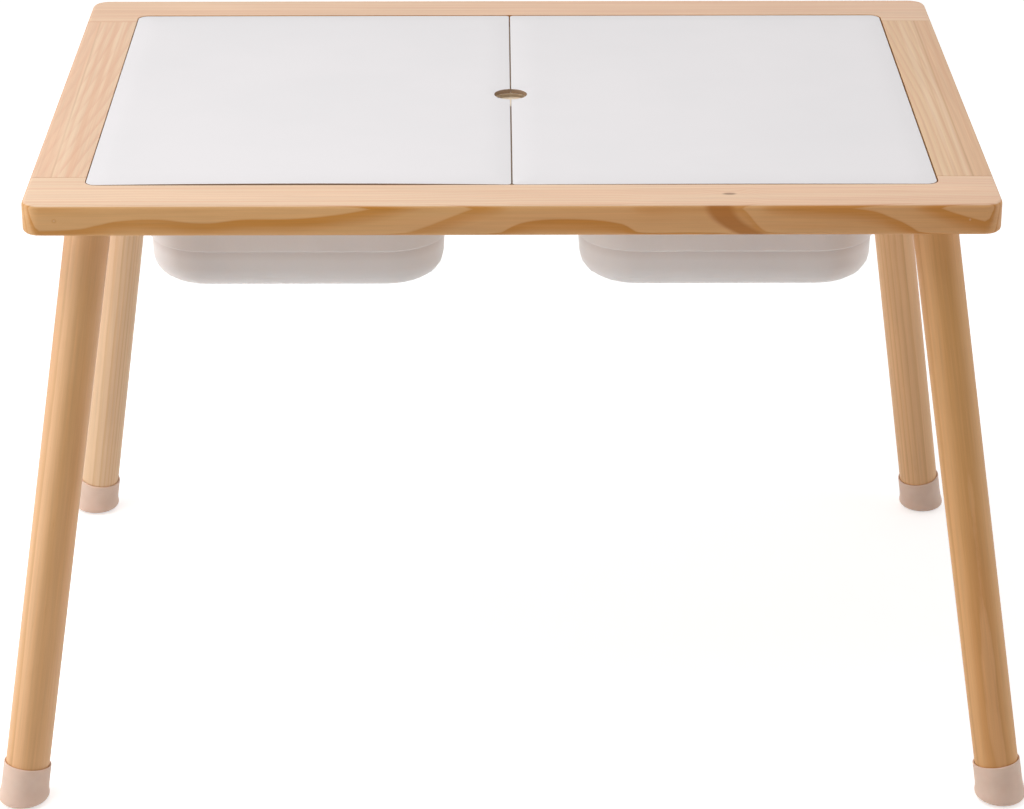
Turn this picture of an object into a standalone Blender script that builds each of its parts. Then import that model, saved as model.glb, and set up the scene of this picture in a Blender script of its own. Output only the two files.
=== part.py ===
"""A toddler's sensory table: a pine frame top on four splayed legs, with two lift-out
bins under two lift-off lids.

Metres, +Z up. The origin is on the floor under the middle of the table, +X runs along
the table's length and -Y is its front.
"""

import math

import bmesh
import bpy
from mathutils import Matrix, Vector

# Overall sizes
TABLE_LENGTH = 0.720
TABLE_DEPTH = 0.520
TABLE_HEIGHT = 0.490

# Room left between two pieces that touch
CLEARANCE = 0.0003

# Top frame
TOP_THICKNESS = 0.024
TOP_CORNER_RADIUS = 0.014
TOP_ARRIS_RADIUS = 0.003
LONG_RAIL_WIDTH = 0.0625
SIDE_RAIL_WIDTH = 0.0772
CENTRE_RAIL_WIDTH = 0.0884
WELL_CORNER_RADIUS = 0.052
WELL_PAST_JOINT = 0.001
RIM_LEDGE = 0.0105
RIM_SEAT_DEPTH = 0.008

# Lids
LID_THICKNESS = 0.004
LID_SUNK = 0.0005
LID_MARGIN_SIDE = 0.0425
LID_MARGIN_FRONT = 0.0445
LID_EDGE_GAP = 0.001
LID_SPLIT_GAP = 0.0015
LID_CORNER_RADIUS = 0.008
LID_SPLIT_CORNER_RADIUS = 0.003
FINGER_HOLE_DIAMETER = 0.026
FINGER_SCOOP_DIAMETER = 0.034
FINGER_SCOOP_DEPTH = 0.003

# Bins
BIN_HEIGHT = 0.0885
BIN_WALL = 0.002
BIN_DRAFT = math.radians(2.0)
BIN_BODY_GAP = 0.004
BIN_STEP_HEIGHT = 0.032
BIN_STEP = 0.0012
BIN_FLOOR_FILLET = 0.015
BIN_RIM_HEIGHT = 0.007
BIN_RIM_GAP = 0.0015
BIN_RIM_ROUND = 0.0015

# Legs
LEG_DIAMETER = 0.034
LEG_INSET_SIDE = 0.0457
LEG_INSET_FRONT = 0.0445
LEG_SPLAY_SIDE = math.radians(8.36)
LEG_SPLAY_FRONT = math.radians(6.75)
LEG_TOP_DROP = 0.0078

# Leg caps
CAP_HEIGHT = 0.032
CAP_WALL = 0.0012
CAP_FLOOR = 0.003
CAP_FLARE = 0.00075
CAP_FOOT_ROUND = 0.0025

# Leg plates
PLATE_SIZE = 0.056
PLATE_THICKNESS = 0.002
PLATE_CORNER_RADIUS = 0.006
PLATE_HOLE_SPACING = 0.041
BOSS_MARGIN = 0.00225

# Hanger bolts
BOLT_DIAMETER = 0.008
BOLT_BELOW_TOP = 0.0012
BOLT_IN_LEG = 0.030
BOLT_POINT = 0.005

# Plate screws
SCREW_DIAMETER = 0.0035
SCREW_HEAD_DIAMETER = 0.0068
SCREW_HEAD_HEIGHT = 0.0016
SCREW_LENGTH = 0.014
SCREW_POINT = 0.003

# Dowels
DOWEL_DIAMETER = 0.008
DOWEL_LENGTH = 0.040
DOWEL_CHAMFER = 0.001
CORNER_DOWEL_SPACING = 0.020
CENTRE_DOWEL_SPACING = 0.040

# Fineness of the curves
CORNER_STEPS = 7
ARRIS_STEPS = 3
FILLET_STEPS = 4
ROUND_STEPS = 2
LEG_SIDES = 32
HOLE_SIDES = 32
SMALL_SIDES = 12
OVERSHOOT = 0.002
MERGE = 0.00001
SMOOTH_ANGLE = math.radians(40)

# Heights and places that follow from the sizes
UNDERSIDE = TABLE_HEIGHT - TOP_THICKNESS
LID_SEAT = TABLE_HEIGHT - LID_THICKNESS - LID_SUNK
RIM_SEAT = LID_SEAT - RIM_SEAT_DEPTH
DOWEL_HEIGHT = (UNDERSIDE + LID_SEAT) / 2
JOINT_Y = TABLE_DEPTH / 2 - LONG_RAIL_WIDTH
WELL_OUTER_X = TABLE_LENGTH / 2 - SIDE_RAIL_WIDTH
WELL_INNER_X = CENTRE_RAIL_WIDTH / 2
WELL_X = (WELL_OUTER_X + WELL_INNER_X) / 2
WELL_HALF = Vector(((WELL_OUTER_X - WELL_INNER_X) / 2, JOINT_Y + WELL_PAST_JOINT))
LID_RECESS_HALF = Vector((TABLE_LENGTH / 2 - LID_MARGIN_SIDE, TABLE_DEPTH / 2 - LID_MARGIN_FRONT))
LEG_X = TABLE_LENGTH / 2 - LEG_INSET_SIDE
LEG_Y = TABLE_DEPTH / 2 - LEG_INSET_FRONT

# Corners and sides of the table, by name
CORNERS = {"front_left": (-1, -1), "front_right": (1, -1), "back_left": (-1, 1), "back_right": (1, 1)}
SIDES = {"left": -1, "right": 1}

# Colour, roughness and metallic value of each material
FINISHES = {
    "pine": ((0.80, 0.56, 0.35), 0.50, 0.0),
    "white_board": ((0.86, 0.84, 0.85), 0.45, 0.0),
    "bin_plastic": ((0.74, 0.69, 0.66), 0.35, 0.0),
    "cap_silicone": ((0.62, 0.47, 0.40), 0.60, 0.0),
    "steel": ((0.62, 0.62, 0.64), 0.35, 1.0),
    "beech": ((0.70, 0.50, 0.32), 0.60, 0.0),
}


def clear_scene():
    for old in list(bpy.data.objects):
        bpy.data.objects.remove(old, do_unlink=True)


def new_collection(name):
    collection = bpy.data.collections.new(name)
    bpy.context.scene.collection.children.link(collection)
    return collection


def new_material(name):
    color, roughness, metallic = FINISHES[name]
    material = bpy.data.materials.new(name)
    material.use_nodes = True
    shader = material.node_tree.nodes["Principled BSDF"]
    shader.inputs["Base Color"].default_value = (*color, 1.0)
    shader.inputs["Roughness"].default_value = roughness
    shader.inputs["Metallic"].default_value = metallic
    return material


clear_scene()
TABLE = new_collection("sensory_table")
CUTTERS = new_collection("cutters")
MATERIALS = {name: new_material(name) for name in FINISHES}


# Objects and meshes

def add_object(name, mesh, slot=None, place=None):
    """Links a mesh as a piece of the table, or as a cutter where it has no slot."""
    obj = bpy.data.objects.new(name, mesh)
    if slot:
        mesh.materials.clear()
        mesh.materials.append(MATERIALS[slot])
        TABLE.objects.link(obj)
    else:
        obj.hide_render = True
        obj.display_type = "WIRE"
        CUTTERS.objects.link(obj)
    if place:
        obj.matrix_world = place
    return obj


def to_mesh(bm, name):
    bmesh.ops.recalc_face_normals(bm, faces=bm.faces)
    mesh = bpy.data.meshes.new(name)
    bm.to_mesh(mesh)
    bm.free()
    mesh.shade_smooth()
    mesh.set_sharp_from_angle(angle=SMOOTH_ANGLE)
    return mesh


def add_box(bm, low, high):
    low, high = Vector(low), Vector(high)
    place = Matrix.Translation((low + high) / 2) @ Matrix.Diagonal((*(high - low), 1))
    return bmesh.ops.create_cube(bm, size=1, matrix=place)["verts"]


def add_cylinder(bm, radius, low, high, place=Matrix(), sides=HOLE_SIDES, top_radius=None):
    """A cylinder or cone along its own Z from low to high, then moved by place."""
    middle = Matrix.Translation((0, 0, (low + high) / 2))
    return bmesh.ops.create_cone(
        bm, cap_ends=True, segments=sides, radius1=radius, radius2=top_radius or radius,
        depth=high - low, matrix=place @ middle)["verts"]


def upright_edges(verts):
    edges = {edge for vert in verts for edge in vert.link_edges}
    return [e for e in edges if (e.verts[0].co - e.verts[1].co).xy.length < MERGE]


def round_edges(bm, edges, radius, steps):
    bmesh.ops.bevel(bm, geom=edges, offset=radius, offset_type="OFFSET", affect="EDGES",
                    segments=steps, profile=0.5)


def add_rounded_box(bm, low, high, radius, steps=CORNER_STEPS):
    round_edges(bm, upright_edges(add_box(bm, low, high)), radius, steps)


def boolean(obj, cutter, operation="DIFFERENCE"):
    modifier = obj.modifiers.new(cutter.name, "BOOLEAN")
    modifier.operation = operation
    modifier.solver = "EXACT"
    modifier.object = cutter


def turned(name, profile, slot, place, sides=SMALL_SIDES):
    """A turned piece: its profile of (radius, height) points runs from top to bottom."""
    bm = bmesh.new()
    verts = [bm.verts.new((radius, 0, height)) for radius, height in profile]
    for upper, lower in zip(verts, verts[1:]):
        bm.edges.new((upper, lower))
    mesh = bpy.data.meshes.new(name)
    bm.to_mesh(mesh)
    bm.free()
    obj = add_object(name, mesh, slot, place)
    screw = obj.modifiers.new("turn", "SCREW")
    screw.steps = sides
    screw.render_steps = sides
    screw.use_merge_vertices = True
    screw.merge_threshold = MERGE
    screw.use_smooth_shade = False
    return obj


# Places of the legs and their fittings

def leg_frame(corner):
    """Local Z runs up the leg's axis, with its zero in the plane of the top's underside."""
    side, end = CORNERS[corner]
    down = Vector((side * math.tan(LEG_SPLAY_SIDE), end * math.tan(LEG_SPLAY_FRONT), -1))
    turn = (-down).to_track_quat("Z", "Y").to_matrix().to_4x4()
    return Matrix.Translation((side * LEG_X, end * LEG_Y, UNDERSIDE)) @ turn


def plate_hole_places(corner):
    side, end = CORNERS[corner]
    reach = PLATE_HOLE_SPACING / 2
    for dx in (-reach, reach):
        for dy in (-reach, reach):
            yield Vector((side * LEG_X + dx, end * LEG_Y + dy, UNDERSIDE))


def dowel_places():
    """Name and centre of each dowel: two across every joint between the rails."""
    half_corner = CORNER_DOWEL_SPACING / 2
    half_centre = CENTRE_DOWEL_SPACING / 2
    for end_name, end in (("front", -1), ("back", 1)):
        for side_name, side in SIDES.items():
            for label, offset in (("inner", -half_corner), ("outer", half_corner)):
                x = side * (LEG_X + offset)
                yield f"dowel_{end_name}_{side_name}_{label}", Vector((x, end * JOINT_Y, DOWEL_HEIGHT))
            x = side * half_centre
            yield f"dowel_{end_name}_centre_{side_name}", Vector((x, end * JOINT_Y, DOWEL_HEIGHT))


def leg_length_to(corner, height):
    """Distance down a leg's axis from the underside of the top to a height above the floor."""
    slope = leg_frame(corner).to_3x3() @ Vector((0, 0, 1))
    return (UNDERSIDE - height) / slope.z


def cut_level(bm, frame, height, keep_above):
    """Cuts a mesh in a leg's frame along the level plane at a height above the floor."""
    inverse = frame.inverted()
    point = inverse @ Vector((frame.translation.x, frame.translation.y, height))
    normal = inverse.to_3x3() @ Vector((0, 0, -1 if keep_above else 1))
    cut = bmesh.ops.bisect_plane(
        bm, geom=bm.verts[:] + bm.edges[:] + bm.faces[:], dist=MERGE,
        plane_co=point, plane_no=normal, clear_outer=True)
    rim = [item for item in cut["geom_cut"] if isinstance(item, bmesh.types.BMEdge)]
    bmesh.ops.contextual_create(bm, geom=rim)
    return rim


# Cutters of the top frame

def well_cutter(name, grow, low, high):
    """Both wells, grown sideways, between two heights."""
    bm = bmesh.new()
    half = WELL_HALF + Vector((grow, grow))
    for side in SIDES.values():
        centre = side * WELL_X
        add_rounded_box(bm, (centre - half.x, -half.y, low), (centre + half.x, half.y, high),
                        WELL_CORNER_RADIUS + grow)
    return add_object(name, to_mesh(bm, name))


def recess_cutter():
    bm = bmesh.new()
    half = LID_RECESS_HALF
    add_rounded_box(bm, (-half.x, -half.y, LID_SEAT), (half.x, half.y, TABLE_HEIGHT + OVERSHOOT),
                    LID_CORNER_RADIUS + LID_EDGE_GAP)
    return add_object("lid_recess", to_mesh(bm, "lid_recess"))


def scoop_cutter():
    bm = bmesh.new()
    add_cylinder(bm, FINGER_SCOOP_DIAMETER / 2, LID_SEAT - FINGER_SCOOP_DEPTH, LID_SEAT + OVERSHOOT)
    return add_object("finger_scoop", to_mesh(bm, "finger_scoop"))


def dowel_bore_cutter():
    bm = bmesh.new()
    reach = DOWEL_LENGTH / 2 + CLEARANCE
    for name, centre in dowel_places():
        place = Matrix.Translation(centre) @ Matrix.Rotation(math.pi / 2, 4, "X")
        add_cylinder(bm, DOWEL_DIAMETER / 2 + CLEARANCE, -reach, reach, place, SMALL_SIDES)
    return add_object("dowel_bores", to_mesh(bm, "dowel_bores"))


def screw_bore_cutter():
    bm = bmesh.new()
    depth = SCREW_LENGTH - PLATE_THICKNESS
    for corner in CORNERS:
        for centre in plate_hole_places(corner):
            add_cylinder(bm, SCREW_DIAMETER / 2 + CLEARANCE, -OVERSHOOT, depth + CLEARANCE,
                         Matrix.Translation(centre), SMALL_SIDES)
    return add_object("screw_bores", to_mesh(bm, "screw_bores"))


def region_cutter(name, low, high):
    """The block of the top that one rail is cut from."""
    bm = bmesh.new()
    add_box(bm, (*low, UNDERSIDE - OVERSHOOT), (*high, TABLE_HEIGHT + OVERSHOOT))
    return add_object(name + "_blank", to_mesh(bm, name + "_blank"))


# The top frame

def slab_mesh(name):
    """The whole top as one slab, with its round corners and eased edges."""
    bm = bmesh.new()
    half_x, half_y = TABLE_LENGTH / 2, TABLE_DEPTH / 2
    add_rounded_box(bm, (-half_x, -half_y, UNDERSIDE), (half_x, half_y, TABLE_HEIGHT), TOP_CORNER_RADIUS)
    faces = [face for face in bm.faces if abs(face.normal.z) > 0.9]
    round_edges(bm, list({edge for face in faces for edge in face.edges}), TOP_ARRIS_RADIUS, ARRIS_STEPS)
    return to_mesh(bm, name)


def build_rails():
    """Five rails cut from one slab: two long ones, and three between them."""
    cutters = [
        well_cutter("wells", 0, UNDERSIDE - OVERSHOOT, TABLE_HEIGHT + OVERSHOOT),
        well_cutter("rim_seats", RIM_LEDGE, RIM_SEAT, TABLE_HEIGHT + OVERSHOOT),
        recess_cutter(), scoop_cutter(), dowel_bore_cutter(), screw_bore_cutter()]
    far_x, far_y = TABLE_LENGTH / 2 + OVERSHOOT, TABLE_DEPTH / 2 + OVERSHOOT
    short_y = JOINT_Y - CLEARANCE
    side_x = WELL_OUTER_X - WELL_CORNER_RADIUS
    centre_x = WELL_INNER_X + WELL_CORNER_RADIUS
    regions = {
        "front_rail": ((-far_x, -far_y), (far_x, -JOINT_Y)),
        "back_rail": ((-far_x, JOINT_Y), (far_x, far_y)),
        "left_rail": ((-far_x, -short_y), (-side_x, short_y)),
        "right_rail": ((side_x, -short_y), (far_x, short_y)),
        "centre_rail": ((-centre_x, -short_y), (centre_x, short_y)),
    }
    for name, (low, high) in regions.items():
        rail = add_object(name, slab_mesh(name), "pine")
        boolean(rail, region_cutter(name, low, high), "INTERSECT")
        for cutter in cutters:
            boolean(rail, cutter)


def build_dowels():
    half, radius = DOWEL_LENGTH / 2, DOWEL_DIAMETER / 2
    nose = radius - DOWEL_CHAMFER
    profile = [(0, half), (nose, half), (radius, half - DOWEL_CHAMFER),
               (radius, DOWEL_CHAMFER - half), (nose, -half), (0, -half)]
    for name, centre in dowel_places():
        turned(name, profile, "beech", Matrix.Translation(centre) @ Matrix.Rotation(math.pi / 2, 4, "X"))


# Lids

def build_lids():
    """Two boards in one recess, which share the finger hole across their split."""
    bm = bmesh.new()
    add_cylinder(bm, FINGER_HOLE_DIAMETER / 2, LID_SEAT - OVERSHOOT, TABLE_HEIGHT + OVERSHOOT)
    finger_hole = add_object("finger_hole", to_mesh(bm, "finger_hole"))
    near = LID_SPLIT_GAP / 2
    far = LID_RECESS_HALF - Vector((LID_EDGE_GAP, LID_EDGE_GAP))
    low = LID_SEAT + CLEARANCE
    for side_name, side in SIDES.items():
        name = f"lid_{side_name}"
        bm = bmesh.new()
        verts = add_box(bm, (min(side * near, side * far.x), -far.y, low),
                        (max(side * near, side * far.x), far.y, low + LID_THICKNESS))
        outer, inner = [], []
        for edge in upright_edges(verts):
            (outer if abs(edge.verts[0].co.x) > far.x / 2 else inner).append(edge)
        round_edges(bm, outer, LID_CORNER_RADIUS, CORNER_STEPS)
        round_edges(bm, inner, LID_SPLIT_CORNER_RADIUS, ARRIS_STEPS)
        boolean(add_object(name, to_mesh(bm, name), "white_board"), finger_hole)


# Bins

def rounded_ring(half, radius, height):
    """Points of a level rounded rectangle, with the same count at every size."""
    points = []
    for quarter, (sx, sy) in enumerate(((1, 1), (-1, 1), (-1, -1), (1, -1))):
        centre = Vector((sx * (half.x - radius), sy * (half.y - radius)))
        for step in range(CORNER_STEPS + 1):
            angle = math.pi / 2 * (quarter + step / CORNER_STEPS)
            points.append((centre.x + radius * math.cos(angle), centre.y + radius * math.sin(angle), height))
    return points


def bin_sections():
    """The bin's inner skin as (inset from the well's edge, height) pairs, floor to rim lip."""
    top = RIM_SEAT + CLEARANCE + BIN_RIM_HEIGHT
    floor = top - BIN_HEIGHT + BIN_WALL
    step_height = top - BIN_HEIGHT + BIN_STEP_HEIGHT
    slope = math.tan(BIN_DRAFT)
    upper_inset = BIN_BODY_GAP + BIN_WALL

    def wall(height, extra=0.0):
        return upper_inset + (top - height) * slope + extra, height

    sections = []
    for step in range(FILLET_STEPS + 1):
        angle = math.pi / 2 * step / FILLET_STEPS
        height = floor + BIN_FLOOR_FILLET * (1 - math.cos(angle))
        inset = wall(height, BIN_STEP)[0] + BIN_FLOOR_FILLET * (1 - math.sin(angle))
        sections.append((inset, height))
    sections.append(wall(step_height, BIN_STEP))
    sections.append(wall(step_height + BIN_STEP))
    lip = BIN_RIM_GAP - RIM_LEDGE
    turns = [math.pi / 2 * step / ROUND_STEPS for step in range(ROUND_STEPS + 1)]
    for angle in turns:
        sections.append((upper_inset - BIN_RIM_ROUND * (1 - math.cos(angle)),
                         top - BIN_RIM_ROUND * (1 - math.sin(angle))))
    for angle in turns:
        sections.append((lip + BIN_RIM_ROUND * (1 - math.sin(angle)),
                         top - BIN_RIM_ROUND * (1 - math.cos(angle))))
    sections.append((lip, top - BIN_RIM_HEIGHT))
    return sections


def bin_mesh(name):
    """A loft of rounded rectangles, open at the rim's lip, with its normals on the inside."""
    bm = bmesh.new()
    rings = []
    for inset, height in bin_sections():
        half = WELL_HALF - Vector((inset, inset))
        rings.append([bm.verts.new(p) for p in rounded_ring(half, WELL_CORNER_RADIUS - inset, height)])
    bm.faces.new(rings[0])
    for lower, upper in zip(rings, rings[1:]):
        for index in range(len(lower)):
            after = (index + 1) % len(lower)
            bm.faces.new((lower[after], lower[index], upper[index], upper[after]))
    mesh = bpy.data.meshes.new(name)
    bm.to_mesh(mesh)
    bm.free()
    mesh.shade_smooth()
    return mesh


def build_bins():
    for side_name, side in SIDES.items():
        name = f"bin_{side_name}"
        obj = add_object(name, bin_mesh(name), "bin_plastic", Matrix.Translation((side * WELL_X, 0, 0)))
        shell = obj.modifiers.new("wall", "SOLIDIFY")
        shell.thickness = BIN_WALL
        shell.offset = -1
        shell.use_even_offset = True


# Legs, caps and fittings

def bolt_span():
    """Top and tip of a hanger bolt along the leg's axis, from the top's underside."""
    return -BOLT_BELOW_TOP, -LEG_TOP_DROP - BOLT_IN_LEG


def build_leg(corner):
    name = f"leg_{corner}"
    frame = leg_frame(corner)
    radius = LEG_DIAMETER / 2
    bm = bmesh.new()
    add_cylinder(bm, radius, -leg_length_to(corner, 0) - radius, -LEG_TOP_DROP, sides=LEG_SIDES)
    cut_level(bm, frame, CAP_FLOOR + CLEARANCE, keep_above=True)
    leg = add_object(name, to_mesh(bm, name), "pine", frame)
    bm = bmesh.new()
    add_cylinder(bm, BOLT_DIAMETER / 2 + CLEARANCE, bolt_span()[1] - CLEARANCE, OVERSHOOT - LEG_TOP_DROP,
                 sides=SMALL_SIDES)
    boolean(leg, add_object(name + "_bore", to_mesh(bm, name + "_bore"), place=frame))


def build_cap(corner):
    """A silicone cup, cut level where it stands on the floor, that takes the leg's foot."""
    name = f"leg_cap_{corner}"
    frame = leg_frame(corner)
    bore = LEG_DIAMETER / 2 + CLEARANCE
    rim = -leg_length_to(corner, CAP_HEIGHT)
    foot = -leg_length_to(corner, 0)
    reach = bore + CAP_WALL + CAP_FLARE
    flare = CAP_FLARE / (rim - foot)
    bm = bmesh.new()
    add_cylinder(bm, reach + flare * reach, foot - reach, rim, sides=LEG_SIDES, top_radius=bore + CAP_WALL)
    floor_rim = cut_level(bm, frame, 0, keep_above=True)
    round_edges(bm, floor_rim, CAP_FOOT_ROUND, ROUND_STEPS)
    cap = add_object(name, to_mesh(bm, name), "cap_silicone", frame)
    bm = bmesh.new()
    add_cylinder(bm, bore, foot - reach, rim + OVERSHOOT, sides=LEG_SIDES)
    cut_level(bm, frame, CAP_FLOOR, keep_above=True)
    boolean(cap, add_object(name + "_bore", to_mesh(bm, name + "_bore"), place=frame))


def build_plate(corner):
    """A steel plate under the top, with a boss tilted square to the leg's axis."""
    name = f"leg_plate_{corner}"
    side, end = CORNERS[corner]
    frame = leg_frame(corner)
    centre = Vector((side * LEG_X, end * LEG_Y, UNDERSIDE - CLEARANCE))
    half = PLATE_SIZE / 2
    bm = bmesh.new()
    add_rounded_box(bm, (-half, -half, -PLATE_THICKNESS), (half, half, 0), PLATE_CORNER_RADIUS, ARRIS_STEPS)
    plate = add_object(name, to_mesh(bm, name), "steel", Matrix.Translation(centre))

    bm = bmesh.new()
    boss = LEG_DIAMETER / 2 + BOSS_MARGIN
    add_cylinder(bm, boss, CLEARANCE - LEG_TOP_DROP, boss)
    cut_level(bm, frame, centre.z - PLATE_THICKNESS / 2, keep_above=False)
    boolean(plate, add_object(name + "_boss", to_mesh(bm, name + "_boss"), place=frame), "UNION")

    bm = bmesh.new()
    add_cylinder(bm, BOLT_DIAMETER / 2 + CLEARANCE, -LEG_TOP_DROP - OVERSHOOT, 2 * OVERSHOOT)
    boolean(plate, add_object(name + "_bore", to_mesh(bm, name + "_bore"), place=frame))

    bm = bmesh.new()
    shank = SCREW_DIAMETER / 2 + CLEARANCE
    head = SCREW_HEAD_DIAMETER / 2 + CLEARANCE
    widen = (head - shank) / SCREW_HEAD_HEIGHT
    for hole in plate_hole_places(corner):
        place = Matrix.Translation(hole - centre)
        low = centre.z - PLATE_THICKNESS - hole.z
        add_cylinder(bm, head + widen * OVERSHOOT, low - OVERSHOOT, low + SCREW_HEAD_HEIGHT, place,
                     SMALL_SIDES, top_radius=shank)
    holes = add_object(name + "_sinks", to_mesh(bm, name + "_sinks"), place=Matrix.Translation(centre))
    boolean(plate, holes)

    bm = bmesh.new()
    for hole in plate_hole_places(corner):
        add_cylinder(bm, shank, -PLATE_THICKNESS - OVERSHOOT, OVERSHOOT,
                     Matrix.Translation(hole - centre), SMALL_SIDES)
    holes = add_object(name + "_holes", to_mesh(bm, name + "_holes"), place=Matrix.Translation(centre))
    boolean(plate, holes)


def build_bolt(corner):
    top, tip = bolt_span()
    radius = BOLT_DIAMETER / 2
    profile = [(0, top), (radius, top), (radius, tip + BOLT_POINT), (0, tip)]
    turned(f"hanger_bolt_{corner}", profile, "steel", leg_frame(corner))


def build_screws(corner):
    """Countersunk screws that point up through the plate into the rails."""
    head, shank = SCREW_HEAD_DIAMETER / 2, SCREW_DIAMETER / 2
    profile = [(0, 0), (head, 0), (shank, -SCREW_HEAD_HEIGHT),
               (shank, SCREW_POINT - SCREW_LENGTH), (0, -SCREW_LENGTH)]
    for number, hole in enumerate(plate_hole_places(corner), start=1):
        seat = Vector((hole.x, hole.y, UNDERSIDE - CLEARANCE - PLATE_THICKNESS))
        turned(f"plate_screw_{corner}_{number}", profile, "steel",
               Matrix.Translation(seat) @ Matrix.Rotation(math.pi, 4, "X"))


build_rails()
build_dowels()
build_lids()
build_bins()
for corner_name in CORNERS:
    build_leg(corner_name)
    build_cap(corner_name)
    build_plate(corner_name)
    build_bolt(corner_name)
    build_screws(corner_name)
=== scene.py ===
"""The looks of a toddler's sensory table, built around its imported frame.

Metres, in the frame of the model: +X along the table, -Y its front, +Z up.
"""

import math

import bmesh
import bpy
from mathutils import Euler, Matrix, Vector


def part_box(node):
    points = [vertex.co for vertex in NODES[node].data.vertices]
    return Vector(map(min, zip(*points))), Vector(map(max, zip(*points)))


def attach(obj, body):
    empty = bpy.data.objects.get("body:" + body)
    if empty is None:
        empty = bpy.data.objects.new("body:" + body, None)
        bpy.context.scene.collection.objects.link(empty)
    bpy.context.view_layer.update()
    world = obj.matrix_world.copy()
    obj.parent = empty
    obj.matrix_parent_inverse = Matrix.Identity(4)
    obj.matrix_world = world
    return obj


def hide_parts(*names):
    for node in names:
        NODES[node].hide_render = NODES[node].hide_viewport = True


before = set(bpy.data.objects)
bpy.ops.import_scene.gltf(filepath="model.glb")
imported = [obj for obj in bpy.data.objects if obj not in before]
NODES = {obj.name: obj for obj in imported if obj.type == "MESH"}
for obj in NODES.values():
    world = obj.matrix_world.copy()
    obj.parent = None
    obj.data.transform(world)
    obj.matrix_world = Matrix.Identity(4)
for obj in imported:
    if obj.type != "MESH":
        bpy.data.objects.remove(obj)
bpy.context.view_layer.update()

QUARTER = math.pi / 2

# The photograph's frame, and the camera that fits the table's edges in it
PHOTO_WIDTH = 1024
SENSOR_WIDTH = 36.0
FOCAL_PIXELS = 3420.0
CAMERA_EYE = Vector((-0.0123, -2.6089, 1.3461))
CAMERA_PITCH = math.radians(23.358)
CAMERA_YAW = math.radians(0.295)
NEAREST_SEEN = 0.05
FURTHEST_SEEN = 100.0

# Sizes of the table that the looks need
TOP_LOW, TOP_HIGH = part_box("front_rail")
LEG_RADIUS = 0.017
SCOOP_RADIUS = 0.017
BIN_STEP_HEIGHT = 0.032

# Foot caps: radii, heights above the floor, and how finely they are made
CAP_BORE = 0.0173
CAP_RIM = 0.0185
CAP_BELLY = 0.0196
CAP_BELLY_HEIGHT = 0.0054
CAP_CONTACT = 0.0110
CAP_TOP = 0.032
CAP_FLOOR = 0.003
CAP_LEVEL_BELOW = 0.004
CAP_SQUARE_ABOVE = 0.018
CAP_SIDES = 48
CAP_FOOT_STEPS = 8
CAP_RIM_STEPS = 6

# Radii of the rings under a cap's sole and on its inner floor, where its swelling dies away as radii and
# heights, and the heights of the rings on its outer wall and in its bore
CAP_SOLE_RINGS = (0.004, 0.0085)
CAP_FLOOR_RING = 0.006
CAP_NECK = [(0.01945, 0.0075), (0.0190, 0.0100), (0.01865, 0.0125)]
CAP_WALL_RINGS = (0.0160, 0.0240)
CAP_BORE_RINGS = (0.0160, 0.0050, CAP_FLOOR)

# Lids
LID_OUTER_ROUND = 0.008
LID_INNER_ROUND = 0.003
LID_EASE = 0.0004
LID_EASE_MIDDLE = 0.3
LID_SPLIT = 0.0009
LID_SHY = 0.0004
LID_STRIPS = 16
FINGER_RADIUS = 0.013
HOLE_STEPS = 24
CORNER_STEPS = 8

# Each lid's side, how far it bows up, and how much wider than the CAD's it is at its outer edge
LIDS = {"left": (-1, 0.0011, 0.0005), "right": (1, 0.0003, 0.0)}

# Finish of the edges
EDGE_EASE = 0.00025
EASE_SEGMENTS = 2
MERGE = 0.00001
SMOOTH_ANGLE = math.radians(40)

# Light: the world's level and how much more comes from behind, the floor, and each soft light's place, the
# point that it faces and its power
WORLD_LIGHT = 0.46
WORLD_LEAN = 0.24
FLOOR_REACH = 12.0
FLOOR_DROP = 0.0005
FLOOR_TONE = (0.86, 0.86, 0.86)
FLOOR_LIFT = 0.56
LIGHT_SIZE = 1.4
LIGHTS = {
    "key": ((-0.65, -0.5, 2.4), (0, 0, 0.45), 23),
    "left_side": ((-2.35, -0.6, 0.5), (0, 0, 0.3), 23),
    "right_side": ((2.4, -0.4, 0.7), (0, 0, 0.3), 6.5),
}


# Node graphs

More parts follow.
